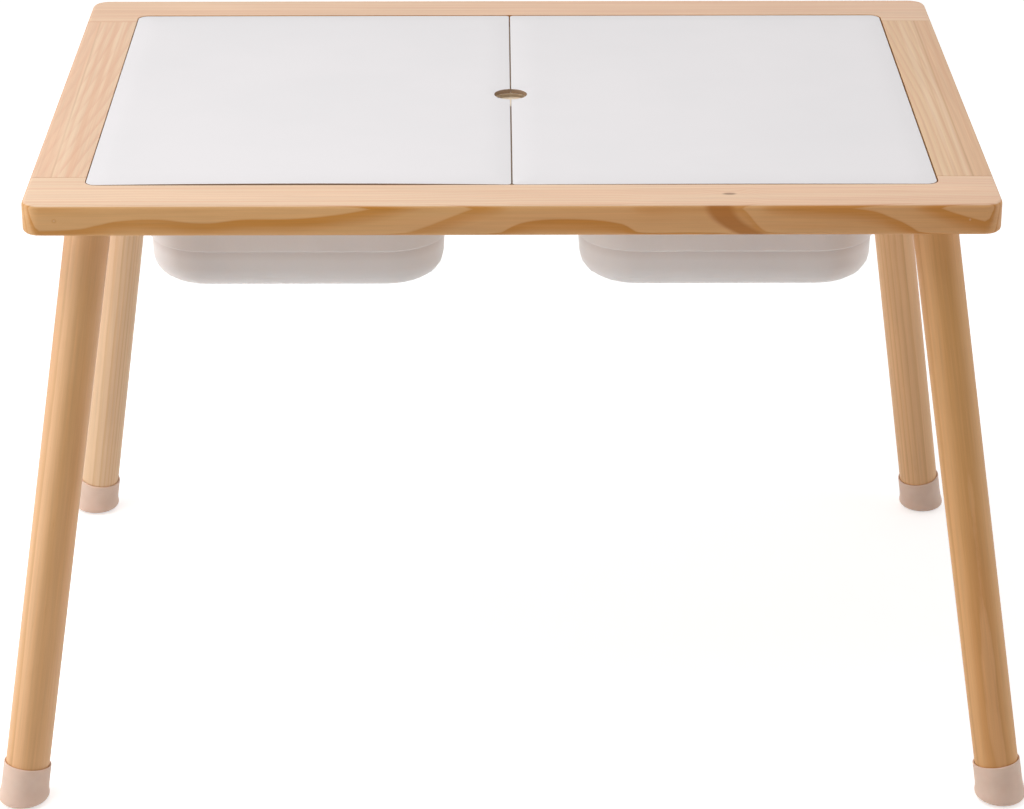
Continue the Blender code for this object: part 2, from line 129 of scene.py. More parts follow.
class Graph:
    """A node tree, built with short calls."""

    def __init__(self, tree):
        self.tree = tree

    def link(self, source, target):
        self.tree.links.new(source, target)

    def put(self, value, target):
        """Links a socket, or sets a plain value."""
        if isinstance(value, bpy.types.NodeSocket):
            self.link(value, target)
        elif target.type == "RGBA":
            target.default_value = (*value, 1.0)
        else:
            target.default_value = value

    def node(self, kind, inputs=None, **settings):
        node = self.tree.nodes.new(kind)
        for key, value in settings.items():
            setattr(node, key, value)
        for key, value in (inputs or {}).items():
            self.put(value, node.inputs[key])
        return node

    def math(self, operation, *values, clamp=False):
        node = self.node("ShaderNodeMath", dict(enumerate(values)), operation=operation, use_clamp=clamp)
        return node.outputs[0]

    def vector(self, operation, *values):
        node = self.node("ShaderNodeVectorMath", dict(enumerate(values)), operation=operation)
        return node.outputs["Value" if operation == "LENGTH" else "Vector"]

    def split(self, vector):
        return self.node("ShaderNodeSeparateXYZ", {"Vector": vector}).outputs

    def join(self, x, y, z):
        return self.node("ShaderNodeCombineXYZ", {"X": x, "Y": y, "Z": z}).outputs["Vector"]

    def smooth(self, value, low, high):
        """0 below low, 1 above high, and a smooth step between them."""
        node = self.node("ShaderNodeMapRange", {"Value": value, "From Min": low, "From Max": high},
                         interpolation_type="SMOOTHSTEP", clamp=True)
        return node.outputs["Result"]

    def fade(self, value, low, high):
        """1 below low, 0 above high, and a smooth step between them."""
        return self.math("SUBTRACT", 1.0, self.smooth(value, low, high))

    def noise(self, vector, scale, detail=2.0, roughness=0.5):
        """A noise from -1 to 1 about zero."""
        node = self.node("ShaderNodeTexNoise", {
            "Vector": vector, "Scale": scale, "Detail": detail, "Roughness": roughness, "Distortion": 0.0})
        return self.math("MULTIPLY_ADD", node.outputs["Fac"], 2.0, -1.0)

    def ramp(self, value, stops):
        """A float ramp through (position, level) stops."""
        node = self.node("ShaderNodeValToRGB", {"Fac": value})
        elements = node.color_ramp.elements
        while len(elements) < len(stops):
            elements.new(0.5)
        for element, (position, level) in zip(elements, stops):
            element.position = position
            element.color = (level, level, level, 1.0)
        return self.node("ShaderNodeRGBToBW", {"Color": node.outputs["Color"]}).outputs["Val"]

    def curve(self, value, stops):
        """A smooth curve through (position, level) stops, both from 0 to 1."""
        node = self.node("ShaderNodeFloatCurve", {"Value": value})
        points = node.mapping.curves[0].points
        while len(points) < len(stops):
            points.new(0.5, 0.5)
        for point, stop in zip(points, stops):
            point.location = stop
        node.mapping.update()
        return node.outputs["Value"]

    def mix(self, factor, first, second, blend="MIX"):
        """A mix of two colours: the first where factor is 0, and the second where it is 1."""
        inputs = {"Factor": factor, 6: first, 7: second}
        return self.node("ShaderNodeMix", inputs, data_type="RGBA", blend_type=blend).outputs[2]

    def tint(self, color, mask, share, tone, blend="MIX"):
        """The colour with a tone over it as far as a mask says, at most by share."""
        return self.mix(self.math("MULTIPLY", mask, share), color, tone, blend)

    def drift(self, cloud, reach, tones):
        """A colour that drifts between two tones with a noise."""
        return self.mix(self.smooth(cloud, -reach, reach), *tones)


def blank_material(name):
    material = bpy.data.materials.new(name)
    material.use_nodes = True
    material.node_tree.nodes.clear()
    return material


class Finish(Graph):
    """The node graph of a material with one shader; place is where on the object it is."""

    def __init__(self, name):
        self.material = blank_material(name)
        super().__init__(self.material.node_tree)
        self.shader = self.node("ShaderNodeBsdfPrincipled")
        self.node("ShaderNodeOutputMaterial", {"Surface": self.shader.outputs["BSDF"]})
        self.place = self.node("ShaderNodeTexCoord").outputs["Object"]

    def rise(self):
        """How far the surface faces up, from -1 to 1."""
        return self.split(self.node("ShaderNodeTexCoord").outputs["Normal"])["Z"]

    def set(self, **values):
        """Sets or links inputs of the shader, whose names use underscores for spaces."""
        for key, value in values.items():
            self.put(value, self.shader.inputs[key.replace("_", " ")])

    def bump(self, height, distance):
        node = self.node("ShaderNodeBump", {"Height": height, "Distance": distance, "Strength": 1.0})
        self.link(node.outputs["Normal"], self.shader.inputs["Normal"])


# Pine: the early and the late wood of each board, as a lit copy for its top and a shaded copy for its
# sides, which is painted light and shade, and the tones of its marks

LIT_TOP_WOOD = ((0.83, 0.575, 0.385), (0.75, 0.415, 0.25))
SHADED_SIDE_WOOD = ((0.75, 0.415, 0.17), (0.585, 0.235, 0.03))
FRONT_WOOD = ((0.875, 0.63, 0.435), (0.79, 0.46, 0.28))
RIGHT_WOOD = ((0.79, 0.53, 0.315), (0.69, 0.37, 0.205))
# Centre rail's wood, lightened as painted light for the scoop under the finger hole
LIT_CENTRE_WOOD = ((0.93, 0.74, 0.54), (0.87, 0.62, 0.41))
FIR_WOOD = ((0.83, 0.49, 0.25), (0.61, 0.30, 0.09))
AMBER_WOOD = ((0.735, 0.395, 0.16), (0.57, 0.26, 0.06))
PALE_WOOD = ((0.86, 0.585, 0.36), (0.75, 0.45, 0.23))
RED_STREAK = (0.45, 0.16, 0.018)
PALE_LINE = (0.90, 0.68, 0.47)
BLUSH = (0.965, 0.875, 0.855)
# Painted light in the finger scoop
SCOOP_PAINTED_LIGHT = (0.98, 0.87, 0.70)
KNOT_HEART = (0.23, 0.115, 0.055)
SEAM_SHADE = (0.84, 0.77, 0.69)
WHITE = (1.0, 1.0, 1.0)

# The wood's noises: cycles in a metre along and across the grain, shift, detail and roughness
WOOD_NOISES = {
    "wander": (4.0, 16.0, 0.0, 2.0, 0.5),
    "quiver": (30.0, 110.0, 0.0, 3.0, 0.5),
    "fibres": (16.0, 1300.0, 0.0, 3.0, 0.62),
    "streaks": (7.0, 260.0, 3.0, 3.0, 0.6),
    "blotches": (6.0, 30.0, 5.0, 2.0, 0.5),
    "blush": (3.0, 40.0, 7.0, 1.0, 0.5),
    "flecks": (70.0, 1500.0, 9.0, 0.0, 0.5),
    "lines": (1.8, 230.0, 11.0, 3.0, 0.62),
    "threads": (11.0, 480.0, 13.0, 3.0, 0.6),
    "pale": (1.5, 150.0, 17.0, 2.0, 0.6),
}

# How dark a ring is through its year, and how far its darkness varies from ring to ring
RING_YEAR = ((0.0, 0.35), (0.03, 1.0), (0.16, 0.92), (0.30, 0.60), (0.46, 0.18), (0.7, 0.05), (0.97, 0.0),
             (1.0, 0.35))
RING_LEAST = 0.72
RING_VARIETY = 0.35

# How far blotches and streaks deepen or thin the late wood, and how much of it shows on a board's top
LATE_BLOTCHES = 0.45
LATE_STREAKS = 0.28
LATE_ON_TOP = 0.85

# How far the rings quiver, as a share of how far they wander
QUIVER_SHARE = 0.22

# How far fibres, blotches and threads darken or lighten the wood
FIBRE_SHADE = 0.09
BLOTCH_SHADE = 0.09
THREAD_SHADE = 0.11

# The wood's marks: the noise at which each begins and is full, and its share over the wood
WOOD_MARKS = {
    "lines": (-0.05, 0.35, 0.55),
    "pale": (0.0, 0.4, 0.42),
    "flecks": (0.62, 0.8, 0.35),
}
BLUSH_NOISE = (-0.1, 0.6)
BLUSH_SHARE = 0.7

# A glued strip: how far its years and its late wood differ, the blur of its edge, the width of its seam,
# and how much of the blush the rest of its rail keeps
STRIP_YEARS = 5.3
STRIP_PALER = 0.55
STRIP_BLUR = 0.0002
SEAM_WIDTH = (0.0001, 0.0012)
BLUSH_BESIDE_STRIP = 0.5

# How far the surface faces up where a rail's edge begins to turn into its top, and where it has turned, so
# where the shaded side tones give way to the lit top tones: painted light and shade
LIT_TOP_TURN = (0.55, 0.9)

# The wood's finish: roughness of early wood, and what late wood and fibres change in roughness and relief
EARLY_ROUGHNESS = 0.50
LATE_ROUGHNESS = -0.10
FIBRE_ROUGHNESS = 0.05
WOOD_RELIEF = 0.00004
LATE_RELIEF = 0.6
FIBRE_RELIEF = 0.25

# Where one growth ring crosses the front edge: places along it and heights above its lower arris
RING_LINE = ((-0.36, 0.0045), (-0.319, 0.006), (-0.304, 0.009), (-0.284, 0.0129), (-0.262, 0.0137),
             (-0.226, 0.0111), (-0.196, 0.0141), (-0.158, 0.0146), (-0.119, 0.0189), (-0.082, 0.0272),
             (-0.025, 0.0486), (-0.012, 0.0527), (0.020, 0.0642), (0.051, 0.0647), (0.079, 0.0613),
             (0.100, 0.0527), (0.135, 0.0535), (0.162, 0.0495), (0.190, 0.0272), (0.212, 0.0238),
             (0.256, 0.0206), (0.279, 0.0137), (0.304, 0.0), (0.33, -0.010), (0.36, -0.018))
RING_SPAN = (-0.02, 0.075)
RING_RISE = 0.0255
RING_SPACING = 0.0036

# How often a side rail's rings wander, in radians a metre, and how far they lean in the board
RING_WANDER = 11.0
RING_LEAN = 0.35

# A reddish streak down the front edge: its place at the top arris, how far it swings, its reach and share
STREAK_START = 0.1514
STREAK_SWING = 0.0265
STREAK_REACH = (0.0055, 0.0135)
STREAK_SHARE = 0.88

# Filled pins in the front edge: how far from the middle and how high, their radius, that of the filler's
# full tone as a share of it and that of the dark rim, and the shares of rim and filler
PIN_PLACE = (0.335, 0.4783)
PIN_RADIUS = 0.0011
PIN_FULL = 0.4
PIN_RIM = 2.0
PIN_RIM_SHARE = 0.45
PIN_FILLER_SHARE = 0.4

# A small knot in the front rail's top: its middle, its shape, its heart, and the swelling of the rings
KNOT_PLACE = (0.160, -0.236, TOP_HIGH.z)
KNOT_SHAPE = (0.45, 1.0, 0.4)
KNOT_REACH = (0.0012, 0.0030)
KNOT_SHARE = 0.75
KNOT_SWELL = 0.014
KNOT_YEARS = 1.6

# Painted light in the centre rail's finger scoop, as paler wood: the blur round it, and its share
SCOOP_BLUR = 0.002
SCOOP_SHARE = 0.8


class Wood(Finish):
    """Pine's node graph, in the frame of its grain: u along the grain, v and w across it."""

    def __init__(self, name, turn, seed):
        super().__init__(name)
        self.seed = seed
        mapping = self.node("ShaderNodeMapping", {"Vector": self.place, "Rotation": turn})
        self.turned = mapping.outputs["Vector"]
        self.u, self.v, self.w = self.split(self.turned)

    def grain(self, kind):
        """One of the wood's noises, drawn out along the grain."""
        along, across, shift, detail, roughness = WOOD_NOISES[kind]
        u = self.math("MULTIPLY_ADD", self.u, along, self.seed + shift)
        v = self.math("MULTIPLY", self.v, across)
        w = self.math("MULTIPLY", self.w, across)
        return self.noise(self.join(u, v, w), 1.0, detail, roughness)


def round_rings(pith, spacing, outer=0.0):
    """Rings about the heart of the tree, counted inwards from the distance outer."""
    def years(wood):
        side = wood.math("SUBTRACT", wood.v, pith[0])
        rise = wood.math("SUBTRACT", wood.w, pith[1])
        reach = wood.vector("LENGTH", wood.join(side, rise, 0.0))
        return wood.math("DIVIDE", wood.math("SUBTRACT", outer, reach), spacing)
    return years


def edge_rings(wood):
    """Rings that lie along the front edge, and cross it in long arches."""
    low, high = RING_SPAN
    length = TOP_HIGH.x - TOP_LOW.x
    stops = [((x - TOP_LOW.x) / length, (height - low) / (high - low)) for x, height in RING_LINE]
    along = wood.math("DIVIDE", wood.math("SUBTRACT", wood.u, TOP_LOW.x), length)
    line = wood.math("MULTIPLY_ADD", wood.curve(along, stops), high - low, low + TOP_LOW.z)
    below = wood.math("DIVIDE", wood.math("SUBTRACT", line, wood.w), RING_RISE)
    behind = wood.math("DIVIDE", wood.math("SUBTRACT", wood.v, TOP_LOW.y), RING_SPACING)
    return wood.math("ADD", below, behind)


def slanted_rings(start, spacing, swing, slant):
    """Rings that stand across a rail's width, run askew to it and wander."""
    def years(wood):
        wave = wood.math("SINE", wood.math("MULTIPLY_ADD", wood.u, RING_WANDER, start))
        askew = wood.math("MULTIPLY_ADD", wood.u, slant, wood.math("MULTIPLY", wood.w, RING_LEAN))
        across = wood.math("ADD", wood.math("MULTIPLY_ADD", wave, swing, wood.v), askew)
        return wood.math("DIVIDE", across, spacing)
    return years


def red_streak(wood, color):
    """A streak that swings along the front edge on its way down."""
    depth = wood.math("DIVIDE", wood.math("SUBTRACT", TOP_HIGH.z, wood.w), TOP_HIGH.z - TOP_LOW.z)
    middle = wood.math("MULTIPLY_ADD", wood.math("POWER", depth, 2.0), STREAK_SWING, STREAK_START)
    off = wood.math("ABSOLUTE", wood.math("SUBTRACT", wood.u, middle))
    return wood.tint(color, wood.fade(off, *STREAK_REACH), STREAK_SHARE, RED_STREAK)


def filled_pins(wood, color):
    """Two pins with pale filler over them and a dark rim."""
    across = wood.math("SUBTRACT", wood.math("ABSOLUTE", wood.u), PIN_PLACE[0])
    off = wood.vector("LENGTH", wood.join(across, wood.math("SUBTRACT", wood.w, PIN_PLACE[1]), 0.0))
    rim = wood.fade(off, PIN_RADIUS, PIN_RADIUS * PIN_RIM)
    filler = wood.fade(off, PIN_RADIUS * PIN_FULL, PIN_RADIUS)
    color = wood.tint(color, rim, PIN_RIM_SHARE, SHADED_SIDE_WOOD[1])
    return wood.tint(color, filler, PIN_FILLER_SHARE, LIT_TOP_WOOD[0])


def late_wood(wood, years, blotches):
    """How dark each place of each ring is, with streaks along the grain."""
    count = wood.math("ADD", wood.math("FLOOR", years), wood.seed)
    chance = wood.node("ShaderNodeTexWhiteNoise", {"W": count}, noise_dimensions="1D").outputs["Value"]
    late = wood.ramp(wood.math("FRACT", years), RING_YEAR)
    late = wood.math("MULTIPLY", late, wood.math("MULTIPLY_ADD", chance, RING_VARIETY, RING_LEAST))
    late = wood.math("MULTIPLY", late, wood.math("MULTIPLY_ADD", blotches, LATE_BLOTCHES, 1.0))
    return wood.math("MULTIPLY_ADD", wood.grain("streaks"), LATE_STREAKS, late)


def grain_shade(wood, fibres, blotches):
    """A grey for the fibres, blotches and threads that darken or lighten the wood."""
    shade = wood.math("MULTIPLY_ADD", fibres, FIBRE_SHADE, 1.0)
    shade = wood.math("MULTIPLY_ADD", blotches, BLOTCH_SHADE, shade)
    shade = wood.math("MULTIPLY_ADD", wood.grain("threads"), THREAD_SHADE, shade)
    return wood.join(shade, shade, shade)


def marked(wood, color, kind, tone, where=1.0):
    """The colour with one kind of mark over it, drawn out along the grain."""
    low, high, share = WOOD_MARKS[kind]
    mask = wood.math("MULTIPLY", wood.smooth(wood.grain(kind), low, high), where)
    return wood.tint(color, mask, share, tone)


def pine(name, turn, rings, top, sides, seed, waver=0.5, strength=1.0, lean=0.0, strip=None, marks=False,
         scoop=False):
    """Pine with its grain along the local X that turn gives.

    rings counts the years at a place, and waver is how far the rings wander, in years. top and sides are
    pairs of early and late wood; where they differ, top is a lit copy for the faces that look up and sides
    a shaded copy for the rest, which is painted light and shade. lean is how much pinker the wood grows
    with each metre of its length. strip is where a paler board is glued on: its edge, the side it is on
    and how far its edge runs askew. marks gives the front rail its knot, streak and pins, and scoop gives
    the centre rail painted light in its finger scoop, as paler wood.
    """
    wood = Wood(name, turn, seed)
    years = rings(wood)
    if strip:
        edge, way, askew = strip
        beyond = wood.math("SUBTRACT", wood.v, wood.math("MULTIPLY_ADD", wood.u, askew, edge))
        inside = wood.smooth(wood.math("MULTIPLY", beyond, way), -STRIP_BLUR, STRIP_BLUR)
        years = wood.math("ADD", wood.math("MULTIPLY_ADD", inside, STRIP_YEARS, seed), years)
    years = wood.math("MULTIPLY_ADD", wood.grain("wander"), waver, years)
    years = wood.math("MULTIPLY_ADD", wood.grain("quiver"), waver * QUIVER_SHARE, years)
    if marks:
        off = wood.vector("SUBTRACT", wood.turned, KNOT_PLACE)
        from_knot = wood.vector("LENGTH", wood.vector("MULTIPLY", off, KNOT_SHAPE))
        years = wood.math("MULTIPLY_ADD", wood.fade(from_knot, 0.0, KNOT_SWELL), KNOT_YEARS, years)

    blotches, fibres = wood.grain("blotches"), wood.grain("fibres")
    late = late_wood(wood, years, blotches)
    if strip:
        late = wood.math("MULTIPLY", late, wood.math("MULTIPLY_ADD", inside, -STRIP_PALER, 1.0))
    late = wood.math("MULTIPLY", late, strength, clamp=True)

    # Painted light and shade: faces that look up take the lit top tones, the rest the shaded side tones
    lit_top = wood.smooth(wood.rise(), *LIT_TOP_TURN)
    shaded_side_color = wood.mix(late, *sides)
    if marks:
        shaded_side_color = filled_pins(wood, red_streak(wood, shaded_side_color))
    lit_top_color = wood.mix(wood.math("MULTIPLY", late, LATE_ON_TOP), *top)
    color = wood.mix(lit_top, shaded_side_color, lit_top_color)
    color = wood.mix(1.0, color, grain_shade(wood, fibres, blotches), "MULTIPLY")
    blush = wood.smooth(wood.math("MULTIPLY_ADD", wood.u, lean, wood.grain("blush")), *BLUSH_NOISE)
    if strip:
        blush = wood.math("MAXIMUM", wood.math("MULTIPLY", blush, BLUSH_BESIDE_STRIP), inside)
        seam = wood.smooth(wood.math("ABSOLUTE", beyond), *SEAM_WIDTH)
        color = wood.mix(1.0, color, wood.mix(seam, SEAM_SHADE, WHITE), "MULTIPLY")
    color = wood.tint(color, blush, BLUSH_SHARE, BLUSH, "MULTIPLY")
    color = marked(wood, color, "lines", top[1], lit_top)
    color = marked(wood, color, "pale", PALE_LINE, lit_top)
    color = marked(wood, color, "flecks", SHADED_SIDE_WOOD[1])
    if marks:
        color = wood.tint(color, wood.fade(from_knot, *KNOT_REACH), KNOT_SHARE, KNOT_HEART)
    # Painted light: the finger scoop's wood is made paler, as if lit through the lid's hole
    if scoop:
        from_middle = wood.vector("LENGTH", wood.join(wood.u, wood.v, 0.0))
        scoop_light = wood.fade(from_middle, SCOOP_RADIUS, SCOOP_RADIUS + SCOOP_BLUR)
        color = wood.tint(color, scoop_light, SCOOP_SHARE, SCOOP_PAINTED_LIGHT)

    roughness = wood.math("MULTIPLY_ADD", late, LATE_ROUGHNESS, EARLY_ROUGHNESS)
    roughness = wood.math("MULTIPLY_ADD", fibres, FIBRE_ROUGHNESS, roughness)
    relief = wood.math("MULTIPLY_ADD", fibres, FIBRE_RELIEF, wood.math("MULTIPLY", late, LATE_RELIEF))
    wood.set(Base_Color=color, Specular_IOR_Level=0.4, Roughness=roughness)
    wood.bump(relief, WOOD_RELIEF)
    return wood.material


# The other materials: the tones between which each drifts

BOARD_WHITE = ((0.845, 0.815, 0.825), (0.825, 0.80, 0.81))
BOARD_CORE = ((0.27, 0.17, 0.10), (0.38, 0.26, 0.17))
BIN_WHITE = ((0.88, 0.82, 0.795), (0.84, 0.78, 0.76))
CAP_PINK = ((0.84, 0.615, 0.50), (0.78, 0.55, 0.435))
ZINC = ((0.66, 0.66, 0.67), (0.55, 0.56, 0.58))

# How far the surface faces up or down where a lid's brown edge begins to turn white, and where it is white
BOARD_TURN = (0.55, 0.75)

# Painted shade in a greyer band below the bins' step: its tone, the heights from the step at which it
# begins and is full, and those between which the step ends it
BIN_PAINTED_SHADE = (0.91, 0.885, 0.87)
BIN_SHADE_BAND = (-0.009, -0.001)
BIN_STEP_BLUR = (-0.0006, 0.0002)

# Height of the finest relief
FINE_RELIEF = 0.00001


def white_board():
    """A smooth white coating on both faces of a thin board, with its brown core at the edges."""
    board = Finish("white_board")
    mottle = board.noise(board.place, scale=9.0, detail=3.0)
    fluff = board.noise(board.place, scale=2200.0, detail=3.0, roughness=0.7)
    coating = board.drift(mottle, 0.5, BOARD_WHITE)
    core = board.drift(fluff, 0.6, BOARD_CORE)
    facing = board.smooth(board.math("ABSOLUTE", board.rise()), *BOARD_TURN)
    board.set(Base_Color=board.mix(facing, core, coating), Specular_IOR_Level=0.4)
    board.set(Roughness=board.math("MULTIPLY_ADD", mottle, 0.04, 0.42))
    board.bump(board.noise(board.place, scale=900.0, detail=2.0), FINE_RELIEF)
    return board.material


def bin_plastic():
    """Smooth white plastic, with painted shade in a greyer band below its step."""
    plastic = Finish("bin_plastic")
    peel = plastic.noise(plastic.place, scale=400.0, detail=2.0)
    cloud = plastic.noise(plastic.place, scale=12.0, detail=2.0)
    tone = plastic.drift(cloud, 0.6, BIN_WHITE)
    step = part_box("bin_left")[0].z + BIN_STEP_HEIGHT
    height = plastic.math("SUBTRACT", plastic.split(plastic.place)[2], step)
    above = plastic.smooth(height, *BIN_STEP_BLUR)
    # Painted shade: a band below the step, as under a shoulder that faces down
    shade_band = plastic.math("SUBTRACT", plastic.smooth(height, *BIN_SHADE_BAND), above)
    plastic.set(Base_Color=plastic.mix(plastic.math("MAXIMUM", shade_band, 0.0), tone, BIN_PAINTED_SHADE, "MULTIPLY"))
    plastic.set(Roughness=plastic.math("MULTIPLY_ADD", peel, 0.05, 0.36), Specular_IOR_Level=0.45)
    plastic.set(Subsurface_Weight=0.35, Subsurface_Radius=(0.02, 0.016, 0.014), Subsurface_Scale=0.2)
    plastic.bump(peel, FINE_RELIEF)
    return plastic.material


def cap_silicone():
    """Milky silicone with a dusty touch."""
    silicone = Finish("cap_silicone")
    dust = silicone.noise(silicone.place, scale=1300.0, detail=3.0)
    cloud = silicone.noise(silicone.place, scale=60.0, detail=3.0)
    silicone.set(Base_Color=silicone.drift(cloud, 0.6, CAP_PINK))
    silicone.set(Roughness=silicone.math("MULTIPLY_ADD", dust, 0.06, 0.5), Specular_IOR_Level=0.35)
    silicone.set(Subsurface_Weight=0.3, Subsurface_Radius=(0.006, 0.004, 0.003), Subsurface_Scale=0.5)
    silicone.bump(dust, FINE_RELIEF)
    return silicone.material


def zinc_steel():
    """Zinc-plated steel, a little cloudy."""
    steel = Finish("zinc_steel")
    cloud = steel.noise(steel.place, scale=180.0, detail=3.0)
    steel.set(Base_Color=steel.drift(cloud, 0.7, ZINC), Metallic=1.0)
    steel.set(Roughness=steel.math("MULTIPLY_ADD", cloud, 0.08, 0.34))
    steel.bump(cloud, FINE_RELIEF)
    return steel.material


# Shading of the CAD nodes

def smoothing_group():
    """Joins the faces that meet, and shades them smooth up to an angle."""
    tree = bpy.data.node_groups.new("smooth_by_angle", "GeometryNodeTree")
    for way in ("INPUT", "OUTPUT"):
        tree.interface.new_socket("Geometry", in_out=way, socket_type="NodeSocketGeometry")
    graph = Graph(tree)
    shape = graph.node("NodeGroupInput").outputs[0]
    shape = graph.node("GeometryNodeMergeByDistance", {"Geometry": shape, "Distance": MERGE}).outputs[0]
    inputs = {"Geometry": shape, "Name": "custom_normal"}
    shape = graph.node("GeometryNodeRemoveAttribute", inputs).outputs[0]
    shape = graph.node("GeometryNodeSetShadeSmooth", {"Geometry": shape}).outputs[0]
    angle = graph.node("GeometryNodeInputMeshEdgeAngle").outputs["Unsigned Angle"]
    gentle = graph.node("FunctionNodeCompare", {"A": angle, "B": SMOOTH_ANGLE}, operation="LESS_EQUAL")
    inputs = {"Geometry": shape, "Shade Smooth": gentle.outputs["Result"]}
    shape = graph.node("GeometryNodeSetShadeSmooth", inputs, domain="EDGE").outputs[0]
    graph.node("NodeGroupOutput", {0: shape})
    return tree


SMOOTHING = smoothing_group()


def smooth_by_angle(obj):
    obj.modifiers.new("smooth", "NODES").node_group = SMOOTHING


def dress(node, material, ease=0.0):
    """Gives a CAD node its material, smooth shading and, where ease says, softened edges."""
    obj = NODES[node]
    obj.material_slots[0].material = material
    smooth_by_angle(obj)
    if ease:
        bevel = obj.modifiers.new("ease", "BEVEL")
        bevel.width = ease
        bevel.segments = EASE_SEGMENTS
        bevel.limit_method = "ANGLE"
        bevel.angle_limit = SMOOTH_ANGLE
        bevel.harden_normals = True


# Rails and legs

ALONG = Euler((0, 0, 0))
ACROSS = Euler((0, 0, -QUARTER))

# How wide the strips along the side rails' outer edges are, and how far the left one's edge runs askew
LEFT_STRIP = 0.014
LEFT_STRIP_ASKEW = 0.0105
RIGHT_STRIP = 0.0155

# Each leg's wood, the way from its axis to the heart of its tree, ring spacing, first year and strength.
# On the front legs the heart lies so that a dark band of rings faces the front: partly real grain, partly
# painted shade
LEG_WOOD = {
    "front_left": (FIR_WOOD, (0.060, -0.030), 0.0080, 0.12, 0.6),
    "front_right": (AMBER_WOOD, (0.060, -0.012), 0.0075, 0.10, 0.65),
    "back_left": (PALE_WOOD, (0.040, 0.050), 0.0030, 0.5, 0.7),
    "back_right": (FIR_WOOD, (0.040, -0.045), 0.0040, 0.5, 0.4),
}
LEG_WAVER = 0.38
LEG_SEEDS = (50.0, 59.0, 68.0, 77.0)


def dress_rails():
    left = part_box("left_rail")[0].x + LEFT_STRIP
    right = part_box("right_rail")[1].x - RIGHT_STRIP
    rails = {
        "front_rail": pine("pine_front", ALONG, edge_rings, FRONT_WOOD, SHADED_SIDE_WOOD, seed=3.0, waver=0.07,
                           lean=2.2, marks=True),
        "back_rail": pine("pine_back", ALONG, round_rings((0.10, 0.44), 0.0044), LIT_TOP_WOOD, SHADED_SIDE_WOOD,
                          seed=11.0, strength=1.3),
        "left_rail": pine("pine_left", ACROSS, slanted_rings(0.6, 0.0078, 0.0045, 0.11), LIT_TOP_WOOD,
                          SHADED_SIDE_WOOD, seed=23.0, strength=0.8, strip=(-left, 1, LEFT_STRIP_ASKEW)),
        "right_rail": pine("pine_right", ACROSS, slanted_rings(2.2, 0.0052, 0.0030, -0.03), RIGHT_WOOD,
                           SHADED_SIDE_WOOD, seed=31.0, strength=0.8, strip=(-right, -1, 0.0)),
        # The centre rail's wood is lightened: painted light under the finger hole
        "centre_rail": pine("pine_centre", ACROSS, round_rings((0.05, 0.40), 0.0040), LIT_CENTRE_WOOD,
                            LIT_CENTRE_WOOD, seed=41.0, scoop=True),
    }
    for node, material in rails.items():
        dress(node, material, EDGE_EASE)


def leg_line(node):
    """The point where a leg's axis meets the floor and the axis's way up, from its two ends."""
    points = [vertex.co for vertex in NODES[node].data.vertices]
    middle = (min(point.z for point in points) + max(point.z for point in points)) / 2
    upper = [point for point in points if point.z > middle]
    lower = [point for point in points if point.z <= middle]
    low = sum(lower, Vector()) / len(lower)
    way = (sum(upper, Vector()) / len(upper) - low).normalized()
    return low - way * (low.z / way.z), way


def dress_legs():
    for seed, (corner, look) in zip(LEG_SEEDS, LEG_WOOD.items()):
        tones, heart, spacing, start, strength = look
        foot, way = leg_line(f"leg_{corner}")
        turn = (-way).rotation_difference(Vector((1, 0, 0))).to_euler()
        centre = turn.to_matrix() @ foot
        outer = math.hypot(*heart) + LEG_RADIUS + start * spacing
        rings = round_rings((centre.y + heart[0], centre.z + heart[1]), spacing, outer)
        material = pine(f"pine_{corner}", turn, rings, tones, tones, seed, LEG_WAVER, strength)
        dress(f"leg_{corner}", material, EDGE_EASE)


# Pieces that the CAD has in a plainer form

def loft(bm, rings):
    """Faces between the rings, and over the first and the last."""
    for lower, upper in zip(rings, rings[1:]):
        for step in range(len(lower)):
            after = (step + 1) % len(lower)
            bm.faces.new((lower[step], lower[after], upper[after], upper[step]))
    bm.faces.new(reversed(rings[0]))
    bm.faces.new(rings[-1])
    bmesh.ops.recalc_face_normals(bm, faces=bm.faces)


def add_piece(bm, name, material):
    """Makes an object of what bm holds."""
    mesh = bpy.data.meshes.new(name)
    bm.to_mesh(mesh)
    bm.free()
    mesh.materials.append(material)
    piece = bpy.data.objects.new(name, mesh)
    bpy.context.scene.collection.objects.link(piece)
    return piece


def turns(angle, steps):
    """The angles from nothing to angle, in even steps."""
    return [angle * step / steps for step in range(steps + 1)]


# Foot caps

def cap_ring(bm, foot, way, radius, height):
    """One ring round a leg's axis, level near the floor and square to the axis further up."""
    lean = min(max((height - CAP_LEVEL_BELOW) / (CAP_SQUARE_ABOVE - CAP_LEVEL_BELOW), 0.0), 1.0)
    square = Vector((0, 0, 1)).lerp(way, lean * lean * (3 - 2 * lean)).normalized()
    centre = foot + way * (height / way.z)
    across = way.orthogonal().normalized()
    along = way.cross(across)
    ring = []
    for angle in turns(math.tau, CAP_SIDES)[:-1]:
        out = radius * (math.cos(angle) * across + math.sin(angle) * along)
        ring.append(bm.verts.new(centre + out - way * (out.dot(square) / way.dot(square))))
    return ring


